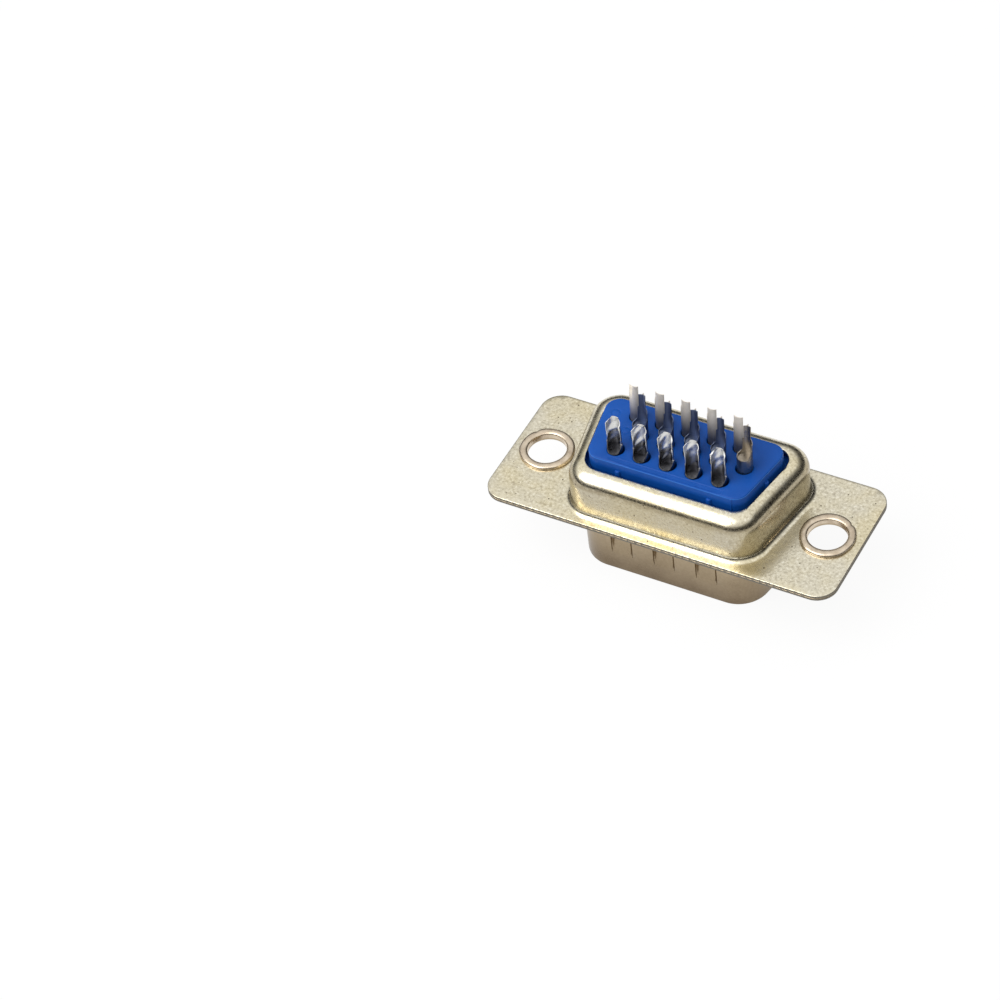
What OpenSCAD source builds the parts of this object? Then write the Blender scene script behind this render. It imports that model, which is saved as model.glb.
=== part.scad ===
// Solder-cup plug of a panel connector: a two-sheet metal shell with a D-shaped mating wall,
// a two-piece insulator and fifteen stamped contacts in three rows of five.
// Millimetres. Z points from the mating rim (z = 0) to the solder cups, the wide side of the D
// is on +Y, and the two mounting holes lie on the X axis.

/* [Flange] */
// distance from a mounting hole to the end of the flange
flange_end = 2.91; // [2.5:0.01:5]
// distance from the rear box to the long edge of the flange
flange_side = 0.92; // [0.7:0.01:3]
// corner radius of the flange
flange_corner_r = 1.75; // [0.5:0.05:3]
// thickness of each shell sheet
sheet_t = 0.25; // [0.2:0.01:0.5]
// distance from the side of the rear box to the centre of a mounting hole
hole_gap = 3.495; // [3.2:0.005:6]
// bore radius of the drawn collars
hole_r = 1.6; // [1.4:0.01:1.8]
// outer radius of the collar lip curled over the rear sheet
curl_r = 2.3; // [2:0.01:2.8]
// height of the curled lip above the rear sheet
curl_h = 0.32; // [0.2:0.01:0.6]
// play of the collar in the hole of the rear sheet
collar_play = 0.02; // [0.01:0.01:0.1]

/* [Mating shell] */
// slope of the short sides of every D outline, in degrees
side_angle = 10; // [5:1:15]
// distance from the mating rim to the front face of the flange
mating_depth = 5.8; // [5:0.05:7]
// outer half width of the mating wall on the X axis
mating_w = 8.4; // [7:0.01:10]
// outer half depth of the mating wall
mating_d = 4.5; // [4:0.01:5]
// outer corner radius of the mating wall
mating_r = 2.7; // [1.5:0.05:3.5]
// outside radius where the mating wall leaves the flange
mating_root_r = 0.45; // [0.2:0.01:1]
// distance between neighbouring dimples
dimple_pitch = 3.77; // [3:0.01:5]
// width of a dimple along X
dimple_w = 1.6; // [1:0.05:2.5]
// height of the deep end of a dimple above the mating rim
dimple_top_z = 3.8; // [2.5:0.05:4.5]
// height of a dimple from its flush end to its deep end
dimple_h = 1.9; // [1:0.05:3]
// depth of the deep end of a dimple
dimple_depth = 0.42; // [0.2:0.01:0.6]

/* [Rear shell] */
// how far the rear box stands out past the mating wall on the short sides
box_over_w = 0.6; // [0.3:0.01:1]
// how far the rear box stands out past the mating wall on the long sides
box_over_d = 0.85; // [0.5:0.01:1]
// outer corner radius of the rear box
box_r = 2.4; // [1.5:0.05:3]
// height of the rear box above the rear face of the flange
box_h = 4.1; // [3:0.05:6]
// outside radius where the rear box meets the flange
box_root_r = 0.55; // [0.2:0.01:0.6]
// outside radius of the rear rim
crest_r = 1.35; // [0.6:0.05:1.5]
// width of the rear rim on the short sides, from the box wall to the opening
rim_w = 1.3; // [1:0.01:1.5]
// width of the rear rim on the long sides, from the box wall to the opening
rim_d = 1.5; // [1.4:0.01:1.75]
// corner radius of the rear opening
opening_r = 1.5; // [1:0.05:2]

/* [Insulator] */
// gap between the rear block and the opening on the short sides
block_gap_w = 0.31; // [0.1:0.01:0.5]
// gap between the rear block and the opening on the long sides
block_gap_d = 0.45; // [0.1:0.01:0.6]
// corner radius of the rear block
block_r = 1.2; // [0.6:0.05:1.5]
// height of the rear face above the rear face of the flange
block_h = 5.03; // [4.5:0.01:6]
// gap between the insulator collar and the inside of the rear box
collar_gap = 0.15; // [0.05:0.01:0.3]
// gap between the insulator nose and the inside of the mating wall
nose_gap = 0.03; // [0.01:0.01:0.1]
// distance of the mating face from the mating rim
face_z = 4.9; // [4:0.05:5.4]
// height of the joint between the two insulators above the rear face of the flange
split_h = 1.3; // [0.8:0.05:2]
// height of the shoulder of the rear insulator above the rear face of the flange
shoulder_h = 3; // [2.5:0.05:3.2]
// radius of the small centring ribs on the rear block
rib_r = 0.26; // [0.15:0.01:0.4]
// depth of the rib axes inside the walls of the block
rib_in = 0.05; // [0:0.01:0.15]
// height of the rib ends above the rear face of the flange
rib_h = 4.25; // [4:0.05:4.8]
// distance of the long-side ribs from the Y axis
rib_x = 4; // [3:0.1:5]
// length of the seating bars under the rear rim
seat_l = 10; // [6:0.5:11]

/* [Contacts] */
// pitch of the contacts in a row
pitch = 2.29; // [2:0.01:3]
// distance between rows
row_pitch = 1.98; // [1.5:0.01:3]
// X of the middle of the two outer rows
outer_row_x = -0.2; // [-1:0.01:1]
// radius of a pin
pin_r = 0.38; // [0.3:0.01:0.5]
// distance of the pin tips from the mating rim
pin_tip_z = 0.7; // [0.3:0.05:1.5]
// play of a pin in the front insulator
pin_play = 0.03; // [0.01:0.01:0.1]
// radius of the holding shoulder of a contact
hold_r = 0.85; // [0.75:0.01:0.9]
// length of the holding shoulder of a contact
hold_l = 0.7; // [0.4:0.05:1]
// outer radius of a solder cup
cup_r = 0.65; // [0.5:0.01:0.7]
// bore radius of a solder cup
cup_bore_r = 0.5; // [0.35:0.01:0.55]
// play of a cup in the rear insulator
cup_play = 0.06; // [0.02:0.01:0.15]
// length of the near-row cups beyond the insulator
near_cup_l = 3.07; // [2:0.01:5]
// length of the middle-row cups beyond the insulator
middle_cup_l = 4.24; // [3:0.01:6]
// length of the far-row cups beyond the insulator
far_cup_l = 3.95; // [2:0.01:5]
// height of the foot of the side cut above the insulator, near row
near_foot_h = 0.03; // [0.01:0.01:0.5]
// height of the foot of the side cut above the insulator, middle row
middle_foot_h = 1.6; // [0.5:0.01:2]
// height of the foot of the side cut above the insulator, far row
far_foot_h = 0.9; // [0.2:0.01:1.5]
// height of the slanted part of the side cut
knee_rise = 0.69; // [0.3:0.01:1]
// depth of the cup floor below the foot of the side cut
cup_floor = 0.18; // [0.05:0.01:0.5]
// width of the tab at the top of an outer-row cup
outer_tab_w = 0.8; // [0.4:0.05:1]
// height of the slanted shoulders of an outer-row cup
outer_shoulder_h = 0.45; // [0.1:0.05:1]
// width of the tab at the top of a middle-row cup
middle_tab_w = 0.56; // [0.3:0.02:1]
// straight height of the tab of a middle-row cup
middle_tab_h = 1; // [0.5:0.05:1.5]
// height of the slanted shoulders of a middle-row cup
middle_shoulder_h = 0.15; // [0.05:0.05:0.5]

/* [Hidden] */
$fn = 96;
// overlap of a cut past the faces it must clear
over = 1;
// angle at which the sides of the solid D blocks cross their corner circles, two microns inside
tuck = 3;
// heights of the sheet faces, counted from the mating rim
joint_z = mating_depth + sheet_t;
rear_z = joint_z + sheet_t;
split_z = rear_z + split_h;
hold_z = split_z - hold_l;
block_z = rear_z + block_h;
crest_z = rear_z + box_h;
box_w = mating_w + box_over_w;
box_d = mating_d + box_over_d;
hole_spacing = 2 * (box_w + hole_gap);
flange_w = hole_spacing + 2 * flange_end;
flange_d = 2 * (box_d + flange_side);
opening_w = box_w - rim_w;
opening_d = box_d - rim_d;
block_w = opening_w - block_gap_w;
block_d = opening_d - block_gap_d;
// one normal offset of a D outline moves its half width by this factor
slant = 1 / cos(side_angle);
// X of the middle of the middle row
middle_row_x = outer_row_x + pitch / 2;
// rows from the wide side to the narrow side: X of the middle, Y, cup length, foot of the side cut,
// turn, tab width, straight tab height and shoulder height
rows = [
  [outer_row_x, row_pitch, far_cup_l, far_foot_h, 180, outer_tab_w, 0, outer_shoulder_h],
  [middle_row_x, 0, middle_cup_l, middle_foot_h, 0, middle_tab_w, middle_tab_h, middle_shoulder_h],
  [outer_row_x, -row_pitch, near_cup_l, near_foot_h, 0, outer_tab_w, 0, outer_shoulder_h]
];
per_row = 5;
// seats of the contacts, numbered from the +X end of the wide row
function row_of(k) = rows[floor((k - 1) / per_row)];
function seat_x(k) = row_of(k)[0] - ((k - 1) % per_row - (per_row - 1) / 2) * pitch;
function seat_y(k) = row_of(k)[1];
contact_nodes = ["contact_01", "contact_02", "contact_03", "contact_04", "contact_05", "contact_06",
  "contact_07", "contact_08", "contact_09", "contact_10", "contact_11", "contact_12", "contact_13",
  "contact_14", "contact_15"];

// centres of the corner circles of a D outline: far right, far left, near left, near right
function corners(w, d, r) = let (
    c = d - r,
    far_x = w - r * slant + c * tan(side_angle),
    near_x = w - r * slant - c * tan(side_angle)
  ) [[far_x, c], [-far_x, c], [-near_x, -c], [near_x, -c]];
// directions of the four sides: far, left, near, right
normals = [90, 180 + side_angle, 270, -side_angle];

// a filled D outline with half width w on the X axis, half depth d and corner radius r; its straight
// sides touch the corner circles when cross is 0, and cross them at that angle otherwise
module d_area(w, d, r, cross) {
  at = corners(w, d, r);
  for (c = at) translate(c) circle(r);
  polygon([for (i = [0:3]) for (n = [normals[(i + 3) % 4], normals[i]])
    at[i] + r * cos(cross) * [cos(n), sin(n)]]);
}

// a solid with a D outline between two heights
module d_block(w, d, r, z0, z1) {
  translate([0, 0, z0]) linear_extrude(z1 - z0) d_area(w, d, r, tuck);
}

// sweeps the profile given as child round a D outline; its x counts from the corner centres
module d_sweep(w, d, r) {
  at = corners(w, d, r);
  turns = [90 + side_angle, 90 + side_angle, 90 - side_angle, 90 - side_angle];
  starts = [-side_angle, 90, 180 + side_angle, 270];
  for (i = [0:3]) {
    translate(at[i]) rotate([0, 0, starts[i]]) rotate_extrude(angle = turns[i]) children();
    translate(at[(i + 1) % 4]) rotate([0, 0, normals[i]]) rotate([90, 0, 0])
      linear_extrude(norm(at[(i + 1) % 4] - at[i])) children();
  }
}

// a quarter ring with its hollow side at the centre; qx and qy choose the quadrant
module quarter(r_out, r_in, qx, qy) {
  intersection() {
    difference() {
      circle(r_out);
      circle(r_in);
    }
    translate([min(0, qx * r_out), min(0, qy * r_out)]) square(r_out);
  }
}

// one flange sheet with its two holes and the D-shaped window
module flange(z0, holes_r, w, d, r) {
  core_w = flange_w - 2 * flange_corner_r;
  core_d = flange_d - 2 * flange_corner_r;
  translate([0, 0, z0]) linear_extrude(sheet_t) difference() {
    union() {
      square([flange_w, core_d], center = true);
      square([core_w, flange_d], center = true);
      for (x = [-core_w / 2, core_w / 2]) for (y = [-core_d / 2, core_d / 2])
        translate([x, y]) circle(flange_corner_r);
    }
    for (x = [-hole_spacing / 2, hole_spacing / 2]) translate([x, 0]) circle(holes_r);
    d_area(w, d, r, 0);
  }
}

// a drawn collar: rolls in from the front sheet, passes the rear sheet and curls over it
module collar() {
  lip_r = curl_h / 2;
  rotate_extrude() {
    translate([hole_r, joint_z]) square([sheet_t, rear_z - joint_z]);
    translate([hole_r + lip_r, rear_z]) square([curl_r - hole_r - 2 * lip_r, curl_h]);
    translate([hole_r + lip_r, rear_z + lip_r]) circle(lip_r);
    translate([curl_r - lip_r, rear_z + lip_r]) circle(lip_r);
    translate([hole_r, rear_z]) square([lip_r, lip_r]);
    translate([hole_r + sheet_t, mating_depth + sheet_t]) quarter(sheet_t, 0, -1, -1);
  }
}

module front_shell() {
  root = mating_root_r + sheet_t;
  reach = mating_r + mating_root_r;
  color("tan") {
    difference() {
      union() {
        flange(mating_depth, hole_r + sheet_t, mating_w + mating_root_r * slant, mating_d + mating_root_r, reach);
        d_sweep(mating_w, mating_d, mating_r) {
          translate([reach, mating_depth - mating_root_r]) quarter(root, mating_root_r, -1, 1);
          translate([mating_r - sheet_t, 0]) square([sheet_t, mating_depth - mating_root_r]);
        }
        for (x = [-hole_spacing / 2, hole_spacing / 2]) translate([x, 0, 0]) collar();
        for (s = [0, 1]) mirror([0, s, 0]) dimples(mating_d - sheet_t, dimple_depth);
      }
      for (s = [0, 1]) mirror([0, s, 0]) dimples(mating_d, dimple_depth);
    }
  }
}

// three ramped wedges on the -Y side that start on the plane y = -d and deepen toward the flange
module dimples(d, depth) {
  for (i = [-1:1]) translate([i * dimple_pitch - dimple_w / 2, 0, 0])
    rotate([90, 0, 90]) linear_extrude(dimple_w)
      polygon([[-d, dimple_top_z - dimple_h], [-d + depth, dimple_top_z], [-d, dimple_top_z]]);
}

module rear_shell() {
  root = box_root_r + sheet_t;
  reach = box_r + box_root_r;
  crest_z0 = crest_z - crest_r;
  color("silver") difference() {
    union() {
      flange(joint_z, hole_r + sheet_t + collar_play, box_w + box_root_r * slant, box_d + box_root_r, reach);
      d_sweep(box_w, box_d, box_r) {
        translate([reach, rear_z + box_root_r]) quarter(root, box_root_r, -1, -1);
        translate([box_r - sheet_t, rear_z + box_root_r])
          square([sheet_t, crest_z0 - rear_z - box_root_r]);
        translate([box_r - crest_r, crest_z0]) quarter(crest_r, crest_r - sheet_t, 1, 1);
        translate([box_r - crest_r - crest_r / 3, crest_z - sheet_t]) square([crest_r / 3, sheet_t]);
      }
    }
    d_block(opening_w, opening_d, opening_r, crest_z0, crest_z + over);
  }
}

// D outline of both insulator collars, inside the rear box
inner_off = sheet_t + collar_gap;
module insulator_collar(z0, z1) {
  d_block(box_w - inner_off * slant, box_d - inner_off, box_r - inner_off, z0, z1);
}

module front_insulator() {
  off = sheet_t + nose_gap;
  color("royalblue") difference() {
    union() {
      d_block(mating_w - off * slant, mating_d - off, mating_r - off, face_z, joint_z);
      insulator_collar(joint_z, split_z);
    }
    for (k = [1:len(contact_nodes)]) translate([seat_x(k), seat_y(k), 0]) {
      translate([0, 0, face_z - over]) cylinder(h = hold_z - face_z + 2 * over, r = pin_r + pin_play);
      translate([0, 0, hold_z]) cylinder(h = hold_l + over, r = hold_r + pin_play);
    }
  }
}

module rear_insulator() {
  rib_y = block_d - rib_in;
  color("royalblue") difference() {
    union() {
      insulator_collar(split_z, rear_z + shoulder_h);
      d_block(block_w, block_d, block_r, rear_z + shoulder_h, block_z);
      for (x = [-rib_x, rib_x]) for (y = [-rib_y, rib_y])
        translate([x, y, rear_z + shoulder_h]) cylinder(h = rib_h - shoulder_h, r = rib_r);
      for (x = [rib_in - block_w, block_w - rib_in])
        translate([x, 0, rear_z + shoulder_h]) cylinder(h = rib_h - shoulder_h, r = rib_r);
      for (s = [0, 1]) mirror([0, s, 0])
        translate([-seat_l / 2, opening_d + cup_play / 2, rear_z + shoulder_h])
          cube([seat_l, box_d - crest_r - opening_d - cup_play / 2, crest_z - sheet_t - rear_z - shoulder_h]);
    }
    for (k = [1:len(contact_nodes)]) translate([seat_x(k), seat_y(k), split_z - over])
      cylinder(h = block_z - split_z + 2 * over, r = cup_r + cup_play);
  }
}

// one contact: pin, holding shoulder and a solder cup open on its side
module contact(k) {
  row = row_of(k);
  top_z = block_z + row[2];
  foot_z = block_z + row[3];
  tab = row[5] / 2;
  tab_z = top_z - row[6];
  shoulder_z = tab_z - row[7];
  wide = 2 * cup_r + over;
  color("gold") translate([seat_x(k), seat_y(k), 0]) rotate([0, 0, row[4]]) difference() {
    union() {
      rotate_extrude() {
        translate([0, pin_tip_z + pin_r]) quarter(pin_r, 0, 1, -1);
        translate([0, pin_tip_z + pin_r]) square([pin_r, hold_z - pin_tip_z - pin_r]);
        translate([0, hold_z]) square([hold_r, hold_l]);
        translate([0, split_z]) square([cup_r, top_z - split_z]);
      }
    }
    translate([0, 0, foot_z - cup_floor]) cylinder(h = top_z - foot_z + cup_floor + over, r = cup_bore_r);
    // the side cut: a slanted foot and a straight face through the axis
    rotate([90, 0, 90]) translate([0, 0, -wide / 2]) linear_extrude(wide)
      polygon([
        [0, foot_z + knee_rise],
        [0, top_z + over],
        [-2 * cup_r, top_z + over],
        [-2 * cup_r, foot_z - knee_rise],
      ]);
    // the shoulders that leave the tab: straight, then slanted down to the walls of the cup
    for (s = [0, 1]) mirror([s, 0, 0]) rotate([90, 0, 0]) translate([0, 0, -wide / 2]) linear_extrude(wide)
      polygon([
        [tab, top_z + over],
        [tab, tab_z],
        [2 * cup_r - tab, 2 * shoulder_z - tab_z],
        [2 * cup_r - tab, top_z + over],
      ]);
  }
}

front_shell();
rear_shell();
front_insulator();
rear_insulator();
contact(1);  // contact_01
contact(2);  // contact_02
contact(3);  // contact_03
contact(4);  // contact_04
contact(5);  // contact_05
contact(6);  // contact_06
contact(7);  // contact_07
contact(8);  // contact_08
contact(9);  // contact_09
contact(10);  // contact_10
contact(11);  // contact_11
contact(12);  // contact_12
contact(13);  // contact_13
contact(14);  // contact_14
contact(15);  // contact_15
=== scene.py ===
# %% [markdown]
# # A fifteen-way solder-cup plug
# The real object is small: two drawn sheet-metal shells clinched together round a blue moulding,
# with fifteen thin stamped contacts. Most of its look comes from bent sheet: soft roundings that
# catch the light, thin raw edges and a slightly mottled plating. The packed solids give the frame
# and every size; this script dresses them with finer surfaces in the same places.
# %% Load the fixed frame
import math

import bmesh
import bpy
import numpy as np
from mathutils import Matrix, Vector, geometry


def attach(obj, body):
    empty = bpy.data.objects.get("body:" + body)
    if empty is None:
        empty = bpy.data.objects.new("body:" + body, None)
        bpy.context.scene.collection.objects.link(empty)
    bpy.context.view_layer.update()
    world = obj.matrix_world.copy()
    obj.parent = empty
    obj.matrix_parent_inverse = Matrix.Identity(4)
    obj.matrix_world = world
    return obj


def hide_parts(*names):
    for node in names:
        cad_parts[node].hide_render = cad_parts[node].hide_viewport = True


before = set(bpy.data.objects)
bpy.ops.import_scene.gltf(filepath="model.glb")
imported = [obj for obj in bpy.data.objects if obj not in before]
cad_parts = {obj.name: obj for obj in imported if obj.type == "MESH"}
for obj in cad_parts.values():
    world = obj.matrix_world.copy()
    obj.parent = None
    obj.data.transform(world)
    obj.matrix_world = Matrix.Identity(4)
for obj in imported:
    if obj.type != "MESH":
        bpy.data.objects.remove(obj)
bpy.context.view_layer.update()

# %% [markdown]
# ## Shared sizes
# All sizes are in millimetres and repeat the named values of the solids, so a dressed piece sits
# exactly where its solid is. One scale factor turns them into metres when a mesh is made. A D shape
# is written as half width on the X axis, half depth and corner radius.
# %% Sizes in millimetres
MM = 0.001
SHEET = 0.25
FRONT_Z, JOINT_Z, REAR_Z = 5.8, 6.05, 6.3
FLANGE_W, FLANGE_D, FLANGE_R = 30.81, 12.54, 1.75
HOLE_X, HOLE_R, CURL_R, CURL_H = 24.99 / 2, 1.6, 2.3, 0.32
SIDE = math.radians(10)
MATING, MATING_ROOT = (8.4, 4.5, 2.7), 0.45
BOX, BOX_ROOT = (9.0, 5.35, 2.4), 0.55
CREST_R, CREST_Z = 1.35, REAR_Z + 4.1
OPENING = (7.7, 3.85, 1.5)
BLOCK, SKIRT = (7.39, 3.4, 1.2), (8.594, 4.95, 2.0)
BLOCK_Z, SHOULDER_Z, SPLIT_Z = REAR_Z + 5.03, REAR_Z + 3.0, REAR_Z + 1.3
PITCH, ROW_PITCH, OUTER_ROW_X = 2.29, 1.98, -0.2
CUP_R, CUP_HOLE = 0.65, 0.71
ROWS = [(OUTER_ROW_X, ROW_PITCH), (OUTER_ROW_X + PITCH / 2, 0.0), (OUTER_ROW_X, -ROW_PITCH)]
SEATS = np.array([(x - (i - 2) * PITCH, y) for x, y in ROWS for i in range(5)])
print("contacts at", SEATS[:2].tolist(), "and on")


# %% [markdown]
# ## From arrays to a mesh
# Every surface below is worked out as whole numpy arrays. A grid of points needs only a list of its
# cells; one helper writes that list, also for a grid that closes on itself.
# %% Cells of a grid
def quads(rows, cols, wrap_cols=False):
    """Face corners of a rows x cols point grid: each cell joins point (i, j) with its three
    neighbours at i + 1 and j + 1; wrapped columns also join the last one to the first."""
    i, j = np.meshgrid(np.arange(rows - 1), np.arange(cols if wrap_cols else cols - 1), indexing="ij")
    a, b = i + 1, (j + 1) % cols
    cells = np.stack([i * cols + j, a * cols + j, a * cols + b, i * cols + b], axis=-1)
    return cells.reshape(-1, 4)


def level(loop, z):
    """A closed loop of points (n, 2) laid at height z."""
    return np.column_stack([loop, np.full(len(loop), z)])


def band(loop, heights):
    """A wall that stands on a closed loop, with a row of points at each height."""
    grid = np.stack([level(loop, z) for z in heights])
    return grid.reshape(-1, 3), quads(len(heights), len(loop), wrap_cols=True)


print("one cell of a grid", quads(2, 2).tolist())


# %% [markdown]
# A real part is one closed skin, so the seams where two patches meet are merged, and all faces are
# turned outwards together afterwards. Sharp folds stay crisp and all the rest is shaded smooth. The
# count of open edges is printed, because a closed piece has none.
# %% One piece from its patches
def make_piece(name, patches, material, sharp=40.0, merge=0.0006, sheared=None):
    """Joins patches, each a pair of points (n, 3) in mm and faces, into one smooth-shaded object.
    Points closer than merge become one; edges folded by more than sharp degrees stay crisp. Where
    sheared is (material, test), the faces whose middle in mm passes the test get that material."""
    points, faces, start = [], [], 0
    for p, f in patches:
        p = np.asarray(p, float).reshape(-1, 3)
        points.append(p)
        faces += (np.asarray(f) + start).tolist()
        start += len(p)
    mesh = bpy.data.meshes.new(name)
    mesh.from_pydata((np.concatenate(points) * MM).tolist(), [], faces)
    work = bmesh.new()
    work.from_mesh(mesh)
    bmesh.ops.remove_doubles(work, verts=work.verts, dist=merge * MM)
    bmesh.ops.dissolve_degenerate(work, edges=work.edges, dist=1e-8)
    bmesh.ops.recalc_face_normals(work, faces=work.faces)
    open_edges = sum(1 for e in work.edges if len(e.link_faces) != 2)
    work.to_mesh(mesh)
    work.free()
    mesh.shade_smooth()
    mesh.set_sharp_from_angle(angle=math.radians(sharp))
    mesh.materials.append(material)
    if sheared:
        mesh.materials.append(sheared[0])
        middle = np.empty(3 * len(mesh.polygons))
        mesh.polygons.foreach_get("center", middle)
        chosen = sheared[1](middle.reshape(-1, 3) / MM).astype(np.int32)
        mesh.polygons.foreach_set("material_index", chosen)
    piece = bpy.data.objects.new(name, mesh)
    bpy.context.scene.collection.objects.link(piece)
    print(name, len(mesh.polygons), "faces,", open_edges, "open edges")
    return piece


# %% [markdown]
# ## The D outline
# A D outline is four corner circles joined by straight sides. If each point of the outline is
# kept as a corner centre plus a distance along an outward normal, the same list also gives every
# parallel outline, which is just what a bent sheet of even thickness needs.
# %% Outlines as centres and normals
SIDE_STEP = 0.6


def d_corners(w, d, r, slope=SIDE):
    """Centres of the corner circles, from near right round to near left: half width w on the X axis,
    changed by y * tan(slope), less the radius r on every side."""
    c = d - r
    far, near = (w - r / math.cos(slope) + k * c * math.tan(slope) for k in (1, -1))
    return np.array([[near, -c], [far, c], [-far, c], [-near, -c]])


def outline(corners, slope, arc=14, marks=()):
    """Walks an outline anticlockwise and returns centres (n, 2) and unit normals (n, 2). Corners are
    arcs of equal steps; long sides are cut at x = marks and about every SIDE_STEP."""
    normals = [-math.pi / 2, -slope, math.pi / 2, math.pi + slope, 1.5 * math.pi]
    centres, dirs = [], []
    for i in range(4):
        turn = np.linspace(normals[i], normals[i + 1], arc + 1)
        centres.append(np.repeat(corners[i][None], arc + 1, 0))
        dirs.append(np.stack([np.cos(turn), np.sin(turn)], 1))
        a, b = corners[i], corners[(i + 1) % 4]
        length = np.linalg.norm(b - a)
        share = np.linspace(0, 1, max(2, int(length / SIDE_STEP)) + 1)[1:-1]
        if i in (1, 3) and len(marks):
            at = (np.asarray(marks) - a[0]) / (b[0] - a[0])
            share = np.unique(np.round(np.concatenate([share, at[(at > 0.001) & (at < 0.999)]]), 6))
        centres.append(a + share[:, None] * (b - a))
        dirs.append(np.repeat(dirs[-1][-1:], len(share), 0))
    return np.concatenate(centres), np.concatenate(dirs)


FLANGE_CORNERS = d_corners(FLANGE_W / 2, FLANGE_D / 2, FLANGE_R, 0.0)
BOX_CORNERS, MATING_CORNERS = d_corners(*BOX), d_corners(*MATING)
BLOCK_CORNERS, SKIRT_CORNERS = d_corners(*BLOCK), d_corners(*SKIRT)
print("outline of the rear box has", len(outline(BOX_CORNERS, SIDE)[0]), "points")


# %% [markdown]
# Rounded edges and cut windows both ask how far a point lies from an outline. For a convex rounded
# shape that distance has a plain formula, so no search over edges is needed.
# %% Distance to an outline
def inside_depth(xy, corners, r, slope):
    """Distance from points to an outline, positive inside: for a convex rounded shape it is the
    corner radius less the distance outside the polygon of its corner centres."""
    c, s = math.cos(slope), math.sin(slope)
    n = np.array([[0, -1], [c, -s], [0, 1], [-c, -s]])
    flat = np.stack([(xy - corners[k]) @ n[k] for k in range(4)], 1).max(1)
    gap = np.full(len(xy), np.inf)
    for k in range(4):
        a, b = corners[k], corners[(k + 1) % 4]
        t = np.clip(((xy - a) @ (b - a)) / ((b - a) @ (b - a)), 0, 1)
        gap = np.minimum(gap, np.linalg.norm(xy - a - t[:, None] * (b - a), axis=1))
    return r - np.where(flat > 0, gap, -gap)


def from_centre(xy, centre):
    """Distance of points from one centre."""
    return np.hypot(*(xy - centre).T)


print("middle of the block lies", inside_depth(np.zeros((1, 2)), BLOCK_CORNERS, BLOCK[2], SIDE)[0], "inside")


# %% [markdown]
# ## Flat sheet with holes
# A flange is flat, but its edge is slightly rounded by the punch and it has three holes. Loops of
# points are laid at chosen distances from each edge, a triangulation joins them, and the height of
# each point follows from its distance to the edge.
# %% Triangulated flat region
SLIVER = 1e-5
NO_POINTS = np.zeros((0, 2))


def ring_points(x, y, r, n):
    """A circle of n points."""
    t = np.arange(n) * 2 * np.pi / n
    return np.stack([x + r * np.cos(t), y + r * np.sin(t)], 1)


def filled_grid(x0, x1, y0, y1, step):
    """Loose points on a staggered grid, for even triangles."""
    x, y = np.meshgrid(np.arange(x0, x1, step), np.arange(y0, y1, step), indexing="ij")
    x = x + (np.arange(x.shape[1]) % 2)[None] * step / 2
    return np.stack([x.ravel(), y.ravel()], 1)


def flat_region(loops, inner, keep, height):
    """Joins closed loops and loose inner points by a constrained triangulation, keeps the triangles
    whose middle passes keep(xy) and whose doubled area |ab x ac| is more than SLIVER, and lifts each
    point to height(xy)."""
    points, edges = [], []
    for loop in loops:
        k = len(points)
        points += loop.tolist()
        edges += [(k + i, k + (i + 1) % len(loop)) for i in range(len(loop))]
    points += inner.tolist()
    xy, _, tris, *_ = geometry.delaunay_2d_cdt(points, edges, [], 0, 1e-7)
    xy, tris = np.array([tuple(p) for p in xy]), np.array([t for t in tris if len(t) == 3])
    ab, ac = xy[tris[:, 1]] - xy[tris[:, 0]], xy[tris[:, 2]] - xy[tris[:, 0]]
    area = np.abs(ab[:, 0] * ac[:, 1] - ab[:, 1] * ac[:, 0])
    return np.column_stack([xy, height(xy)]), tris[keep(xy[tris].mean(1)) & (area > SLIVER)]


print("a staggered grid of", len(filled_grid(0, 1, 0, 1, 0.5)), "points")

# %% [markdown]
# ### Places of the dimples
# The mating wall has three pressed dimples on each long side. Their edges need close columns of
# points, and the flange above shares those columns, so they are named before both.
# %% Dimples
DIMPLE_X = np.array([-3.77, 0.0, 3.77])
DIMPLE_W, DIMPLE_TOP, DIMPLE_H, DIMPLE_DEPTH = 1.6, 3.8, 1.9, 0.42
DIMPLE_SIDE, DIMPLE_LIP, DIMPLE_FADE = 0.02, 0.03, 0.06
SCORE_GAP, SCORE_DEPTH, SCORE_W = 0.1, 0.12, 0.035
MARK_STEPS = np.array([-0.1, -0.05, 0.0, 0.04, 0.07, 0.1, 0.13, 0.17])
DIMPLE_MARKS = np.concatenate([x + s * (DIMPLE_W / 2 + MARK_STEPS) for x in DIMPLE_X for s in (-1, 1)])
print(len(DIMPLE_MARKS), "columns at the edges of the dimples")


# %% [markdown]
# ### One flange
# Both shells have the same flange outline. Each is two faces with a quarter-round edge and a short
# rim between them, and the rear one also has the walls of its two holes.
# %% Flange sheet
FLANGE_EDGE, FLANGE_CLEAR = 0.07, 0.22
ROUND_SHARES = (0, 0.13, 0.5, 1)
FLANGE_GRID = (-15.3, 15.4, -6.1, 6.2, 0.55)
HOLE_POINTS = 96


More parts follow.
